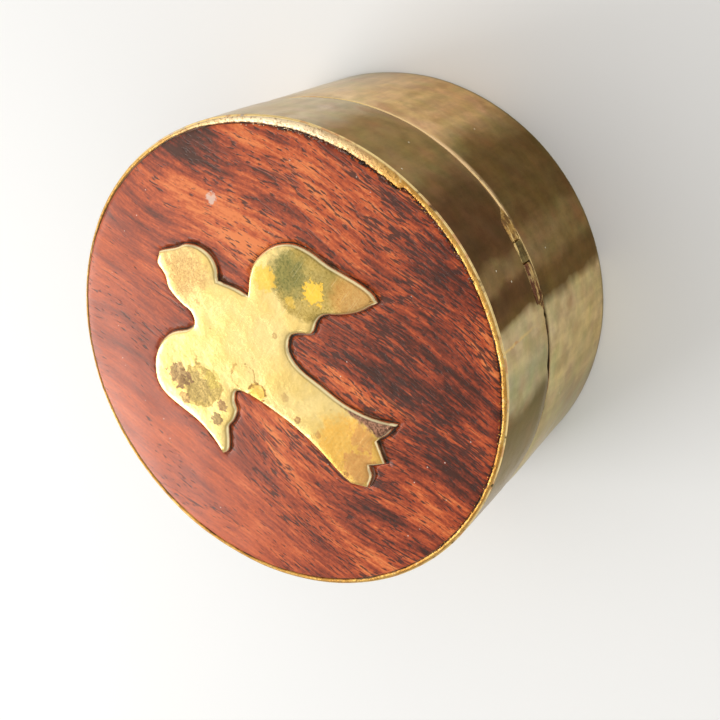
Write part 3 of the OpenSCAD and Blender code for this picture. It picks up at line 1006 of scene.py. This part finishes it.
# section of the filling: share of the way outwards, and height from the rim
FILLING = ((1.0, FILLING_FOOT), (1.0, -0.06), (0.93, -0.01), (0.75, 0.01), (0.5, 0.02), (0.3, 0.0),
           (0.12, -0.04), (0.0, -0.14), (0.0, FILLING_FOOT))
CEMENT_COLUMNS, CEMENT_LUMP = 600, 0.05
# section of the cement: distance out from the wood, height from the rim, and whether it is lumpy
CEMENT = ((0.16, -0.5, 0), (0.15, -0.16, 1), (0.0, -0.12, 1), (-0.2, -0.3, 0), (-0.2, -0.5, 0))
CRUMB_QUADS = ((0, 1, 3, 2), (4, 6, 7, 5), (0, 4, 5, 1), (2, 3, 7, 6), (0, 2, 6, 4), (1, 5, 7, 3))
CRUMB_SINK = 0.09
WOOD_COLUMNS, WOOD_INSET, WOOD_SPACING, ROW_SHARE, FLAT_MARGIN = 360, 0.3, 0.55, 0.87, 0.6
WOOD_SINK, WOOD_UNEVEN, WOOD_CHIP = 0.03, 0.03, 0.05
POCKET_DIP, POCKET_DIP_WIDTH = 0.04, 0.15
# rounded edge of the wood: distance out, drop, and whether it is chipped
WOOD_ROUND = ((-0.12, 0.03, 1), (-0.03, 0.1, 1), (0, 0.22, 1), (0, 0.6, 0))


def wood_height(p):
    """Height of the crowned, slightly uneven top of the wood."""
    s = (Vector((p.x, p.y)) - Vector((WOOD_C.x, WOOD_C.y))).length / WOOD_R
    uneven = WOOD_UNEVEN * noise.noise(Vector((p.x, p.y, 4.0)) / 4.0)
    return WOOD_EDGE + CROWN * (1 - s * s) - WOOD_SINK + uneven


def wood_edge(angle):
    """Distance of the wood's edge from the axis of the box: short where the brass laps over it."""
    degrees = to_degrees(angle) % 360
    lap = ease(degrees, LAP_START, LAP_FULL) * (1 - ease(degrees, LAP_FALL, LAP_END))
    return INNER_R - WOOD_GAP + dents(degrees, WOOD_WAVES) - LAP_DEPTH * lap


def edge_point(angle, grow):
    """Point beside the wood's edge, further out by grow."""
    r = wood_edge(angle) + grow
    return Vector((r * cos(angle), r * sin(angle)))


def ragged(angle):
    """Raggedness of the inner edge of the rim, in millimetres."""
    p = Vector((cos(angle), sin(angle), 0)) * BODY_R
    return (RAGGED_BROAD * noise.noise(p / 2.5)
            + RAGGED_FINE * noise.noise(p / 0.35 + Vector((5, 0, 0))))


def make_rim_filling(material):
    """Brass filling between the wood and the outer corner of the wall, with a ragged inner edge."""
    points = []
    for a in round_angles(FILLING_COLUMNS):
        hole_r = edge_point(a, FILLING_GAP + max(ragged(a), RAGGED_LOWEST)).length
        outer_r = lid_wall_radius(a, RIM_Z) - FILLING_INSET
        for share, rise in FILLING:
            r = lerp(hole_r, outer_r, share)
            x, y = r * cos(a), r * sin(a)
            lump = 0.02 * noise.noise(Vector((x, y, 0)) / 0.7) if rise > FILLING_FOOT else 0
            points.append((x, y, RIM_Z + rise + lump - FILLING_SINK))
    return new_piece("rim_filling", points, grid_faces(FILLING_COLUMNS, len(FILLING)), material)


def make_cement_ring(material):
    """Dark cement seen as a thin ragged line round the wood."""
    points = []
    for a in round_angles(CEMENT_COLUMNS):
        lump = CEMENT_LUMP * noise.noise(Vector((cos(a), sin(a), 0.3)) * BODY_R / 0.5)
        for grow, rise, lumpy in CEMENT:
            p = edge_point(a, grow)
            points.append((p.x, p.y, RIM_Z + rise + lump * lumpy))
    return new_piece("rim_cement", points, grid_faces(CEMENT_COLUMNS, len(CEMENT)), material)


def crumb(points, faces, centre, size):
    """Adds one small lump with eight corners."""
    start = len(points)
    corners = [(x, y, z) for x in (-1, 1) for y in (-1, 1) for z in (-1, 1)]
    for corner in corners:
        jitter = [size * c * random.uniform(0.35, 1.0) for c in corner]
        points.append(tuple(centre[k] + jitter[k] for k in range(3)))
    for quad in CRUMB_QUADS:
        faces.append(tuple(start + k for k in quad))


def make_crumbs(name, material, count, low_angle, high_angle, spread, size):
    """Crumbs of cement or brass along part of the inner edge of the rim."""
    points, faces = [], []
    for _ in range(count):
        a = radians(random.uniform(low_angle, high_angle))
        p = edge_point(a, random.uniform(-spread, spread))
        crumb(points, faces, (p.x, p.y, WOOD_EDGE - CRUMB_SINK), random.uniform(0.4, 1.0) * size)
    return new_piece(name, points, faces, material, smooth=False)


def staggered(low, spacing, columns, rows, row_share=1.0):
    """Points of a staggered grid: columns and rows are ranges, low is the place of (0, 0)."""
    return [Vector((low.x + (i + 0.5 * (j % 2)) * spacing, low.y + j * spacing * row_share))
            for i in columns for j in rows]


def make_wood(material, pocket):
    """Rosewood disc with a rounded edge, a crowned top and a pocket for the bird."""
    angles = round_angles(WOOD_COLUMNS)
    circle = [edge_point(a, -WOOD_INSET) for a in angles]
    reach = int(WOOD_R / WOOD_SPACING) + 1
    numbers = range(-reach, reach + 1)
    extra = [p for p in staggered(WOOD_C, WOOD_SPACING, numbers, numbers, ROW_SHARE)
             if p.length < wood_edge(atan2(p.y, p.x)) - FLAT_MARGIN]
    verts, faces = fill([circle, pocket], extra, lambda c: not inside(c, pocket))
    points = [(p.x, p.y, wood_height(p) - POCKET_DIP * exp(-edge_gap(p, pocket) / POCKET_DIP_WIDTH))
              for p in verts]
    first = len(points)
    for a in angles:
        top = wood_height(edge_point(a, -WOOD_INSET))
        ring = Vector((cos(a), sin(a), 1)) * BODY_R
        chip = WOOD_CHIP * max(noise.noise(ring / 0.9), 0)
        for grow, drop, chipped in WOOD_ROUND:
            p = edge_point(a, grow - chip * chipped)
            points.append((p.x, p.y, top - drop))
    rows = len(WOOD_ROUND)
    for k in range(WOOD_COLUMNS):
        after = (k + 1) % WOOD_COLUMNS
        faces.append((k, after, first + after * rows, first + k * rows))
        for r in range(rows - 1):
            a, b = first + k * rows + r, first + after * rows + r
            faces.append((a, b, b + 1, a + 1))
    faces += strip_faces(WOOD_COLUMNS, len(points), len(pocket))
    points += [(p.x, p.y, BIRD_LOW) for p in pocket]
    return new_piece("rosewood_disc", points, faces, material)


# ---- Bird ----

# rounded edge of the bird: distance inwards, and depth below its face
BIRD_ROUND = ((0.0, 0.38), (0.03, 0.28), (0.09, 0.17), (0.18, 0.085), (0.27, 0.035), (0.37, 0.02))
BIRD_SPACING, BIRD_MARGIN = 0.4, 0.2
BIRD_SINK, DOME_WIDTH, BIRD_UNEVEN, BIRD_WAVE = 0.02, 0.5, 0.018, 2.6
# gap round the bird in its pocket, and its wider places: more gap, x, half width, y, half width
POCKET_GAP = 0.07
WIDE_GAPS = ((0.2, 11.5, 3, 7, 3), (0.12, -1, 4, 4, 3))
BED_OVERLAP_IN, BED_OVERLAP_OUT, BED_LUMP = 0.05, 0.06, 0.04
BED_LOW_IN, BED_LOW_MIDDLE, BED_LOW_OUT = 0.08, 0.06, 0.1


def pocket_gap(p):
    """Gap of the cement line round the bird, wider at the tail and at the back wing."""
    return sum((more * bell(p.x, x, wide) * bell(p.y, y, high) for more, x, wide, y, high in WIDE_GAPS),
               POCKET_GAP)


def make_bird(material, outline):
    """Polished bird with rounded edges and a slightly uneven face."""
    count = len(outline)
    profile = [(0.0, BIRD_LOW)] + [(-inwards, BIRD_TOP - depth) for inwards, depth in BIRD_ROUND]
    rings = [offset(outline, grow) for grow, _ in profile]
    points = [(p.x, p.y, z) for ring, (_, z) in zip(rings, profile) for p in ring]
    faces = []
    for r in range(len(profile) - 1):
        faces += strip_faces(r * count, (r + 1) * count, count)
    border = rings[-1]
    low = Vector((min(p.x for p in border), min(p.y for p in border)))
    high = Vector((max(p.x for p in border), max(p.y for p in border)))
    columns, rows = [range(int(length / BIRD_SPACING) + 1) for length in high - low]
    extra = [p for p in staggered(low, BIRD_SPACING, columns, rows)
             if inside(p, border) and edge_gap(p, border) > BIRD_MARGIN]
    verts, tops = fill([border], extra, lambda c: inside(c, border))
    start = len(points) - count
    for p in verts[count:]:
        dome = BIRD_SINK * (1 - exp(-edge_gap(p, border) / DOME_WIDTH))
        uneven = BIRD_UNEVEN * noise.noise(Vector((p.x, p.y, 0)) / BIRD_WAVE)
        points.append((p.x, p.y, BIRD_TOP - BIRD_SINK + min(dome + uneven, BIRD_SINK)))
    faces += [tuple(start + i for i in f) for f in tops]
    faces.append(tuple(reversed(range(count))))
    return new_piece("brass_bird", points, faces, material)


def make_bird_cement(material, outline, pocket):
    """Dark cement in the gap between the bird and its pocket."""
    points = []
    for a, b in zip(offset(outline, -BED_OVERLAP_IN), offset(pocket, BED_OVERLAP_OUT)):
        middle = (a + b) / 2
        lump = BED_LUMP * noise.noise(Vector((middle.x, middle.y, 2)) / 0.5)
        points += [(a.x, a.y, BIRD_LOW), (a.x, a.y, wood_height(a) - BED_LOW_IN),
                   (middle.x, middle.y, wood_height(middle) - BED_LOW_MIDDLE + lump),
                   (b.x, b.y, wood_height(b) - BED_LOW_OUT), (b.x, b.y, BIRD_LOW)]
    return new_piece("bird_bed", points, grid_faces(len(outline), 5), material)


# ---- Stage ----

FLOOR_HALF, FLOOR_GREY, FLOOR_ROUGH = 3.0, (0.9, 0.9, 0.89, 1), 0.6
WORLD_LEVEL, WORLD_TINT = 0.62, (1.0, 0.985, 0.96, 1)
# bright panels: azimuth from +X, elevation, half angle of the core and of the edge in degrees, strength
SOFT_PANELS = ((95, 55, 5, 32, 0.45), (-114, 46, 5, 38, 0.7), (-142, 6, 5, 30, 0.6),
               (150, 25, 4, 32, 0.35), (20, 20, 3, 26, 0.4))
# main light: azimuth and elevation in degrees, distance and size in metres, power in watts
KEY = (-88, 26, 0.55, 0.3, 1.5)
LIGHT_AIM_Z = 0.012


def make_floor():
    """Pale floor under the box."""
    mesh = bpy.data.meshes.new("floor")
    corners = [(x * FLOOR_HALF, y * FLOOR_HALF, 0) for x, y in ((-1, -1), (1, -1), (1, 1), (-1, 1))]
    mesh.from_pydata(corners, [], [(0, 1, 2, 3)])
    floor = bpy.data.objects.new("floor", mesh)
    material = bpy.data.materials.new("floor")
    material.use_nodes = True
    shader = material.node_tree.nodes["Principled BSDF"]
    shader.inputs["Base Color"].default_value = FLOOR_GREY
    shader.inputs["Roughness"].default_value = FLOOR_ROUGH
    mesh.materials.append(material)
    put(floor)


def direction(azimuth, elevation):
    """Unit vector, from the azimuth round from +X and the elevation, in degrees."""
    a, e = radians(azimuth), radians(elevation)
    return Vector((cos(e) * cos(a), cos(e) * sin(a), sin(e)))


def soft_light(name, azimuth, elevation, distance, size, power):
    """Square area light aimed at the middle of the box."""
    data = bpy.data.lights.new(name, "AREA")
    data.shape = "SQUARE"
    data.size = size
    data.energy = power
    light = bpy.data.objects.new(name, data)
    way = direction(azimuth, elevation)
    light.location = Vector((0, 0, LIGHT_AIM_Z)) + way * distance
    light.rotation_euler = way.to_track_quat("Z", "Y").to_euler()
    put(light)


def make_world():
    """Pale studio surroundings with soft bright panels that fade out at their edges."""
    world = bpy.data.worlds.new("world")
    world.use_nodes = True
    work_on(world.node_tree)
    way = add("TexCoord").outputs["Generated"]
    level = WORLD_LEVEL
    for azimuth, elevation, core, edge, strength in SOFT_PANELS:
        facing = add("VectorMath", {0: way, 1: direction(azimuth, elevation)},
                     operation="DOT_PRODUCT").outputs["Value"]
        glow = step(facing, cos(radians(edge)), cos(radians(core)), 0, strength)
        level = plus(glow, level)
    background = tree.nodes["Background"]
    background.inputs[0].default_value = WORLD_TINT
    tree.links.new(level, background.inputs[1])
    bpy.context.scene.world = world


# ---- Build ----

def dress(piece, body, slot, *nodes):
    """The piece rides on a body and replaces CAD nodes; the slot is not used."""
    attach(piece, body)
    if nodes:
        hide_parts(*nodes)


def make_hinge():
    """The knuckles and the pin, each with its own patina."""
    for node_name, body, slot, radius_share, floor_z, bright, dark in HINGE:
        low, high = node_box(node_name)
        looks = finish_material(node_name, lambda: hinge_brass(bright, dark), **BRASS)
        tube_r = (high.z - low.z) / 2 * radius_share
        tube = make_tube(node_name + "_filed", looks, low.x, high.x, tube_r, floor_z)
        dress(tube, body, slot, node_name)


make_camera()

BRASS = {"metallic": 1.0, "Specular_Tint": EDGE_TINT}
lid_wall_looks = finish_material("lid_wall_brass", lambda: wall_brass(LID_PATINA_AND_REFLECTION_BANDS), **BRASS)
base_wall_looks = finish_material("base_wall_brass", lambda: wall_brass(BASE_PATINA_AND_REFLECTION_BANDS), **BRASS)
joint_looks = finish_material("joint_solder", joint_solder_brass, **BRASS)
solder_looks = finish_material("solder", solder_metal, **BRASS)
rim_looks = finish_material("rim_brass", rim_brass, metallic=1.0)
inside_looks = finish_material("inside_brass", inside_brass, metallic=1.0)
plate_looks = finish_material("plate_brass", plate_brass, metallic=1.0)
bird_looks = finish_material("bird_brass", bird_brass, metallic=1.0)
cement_looks = finish_material("cement", cement_dark)
wood_looks = finish_material("rosewood", rosewood, Coat_Weight=0.2, Coat_Roughness=0.18,
                             Specular_IOR_Level=0.48, Specular_Tint=WOOD_TINT)

outline = loop_of("bird_inlay")
pocket = offset(outline, pocket_gap)
dress(make_wall("lid_wall", lid_wall_looks, lid_edge, rim_edge, LID_SEED, LID_Z, True),
      "lid", "brass_sheet", "lid_band")
dress(make_wall("base_wall", base_wall_looks, lambda degrees: 0.0, base_edge, BASE_SEED, SEAM_Z, False),
      "base", "brass_sheet", "base_band")
dress(make_rim_filling(rim_looks), "lid", "rim_brass", "rim_solder")
dress(make_cement_ring(cement_looks), "lid", "cement", "panel_cement")
dress(make_wood(wood_looks, pocket), "lid", "rosewood", "wood_panel")
dress(make_bird(bird_looks, outline), "lid", "polished_brass", "bird_inlay")
dress(make_bird_cement(cement_looks, outline, pocket), "lid", "cement", "bird_cement")
dress(make_crumbs("dark_crumbs", cement_looks, 160, 92, 150, spread=0.1, size=0.09), "lid", "cement")
dress(make_crumbs("brass_crumbs", rim_looks, 120, 20, 160, spread=0.12, size=0.06), "lid", "rim_brass")
make_hinge()

# the CAD nodes that no piece replaces
KEPT = {"lid_joint_solder": joint_looks, "lid_plate": plate_looks, "lid_plate_solder": solder_looks,
        "lid_hinge_solder": solder_looks, "base_joint_solder": base_wall_looks,
        "base_plate": plate_looks, "base_plate_solder": solder_looks, "collar": inside_looks,
        "base_hinge_solder": solder_looks}
for node_name, node_material in KEPT.items():
    for material_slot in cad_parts[node_name].material_slots:
        material_slot.material = node_material

make_floor()
make_world()
soft_light("key", *KEY)
bpy.context.scene.view_settings.view_transform = "Standard"
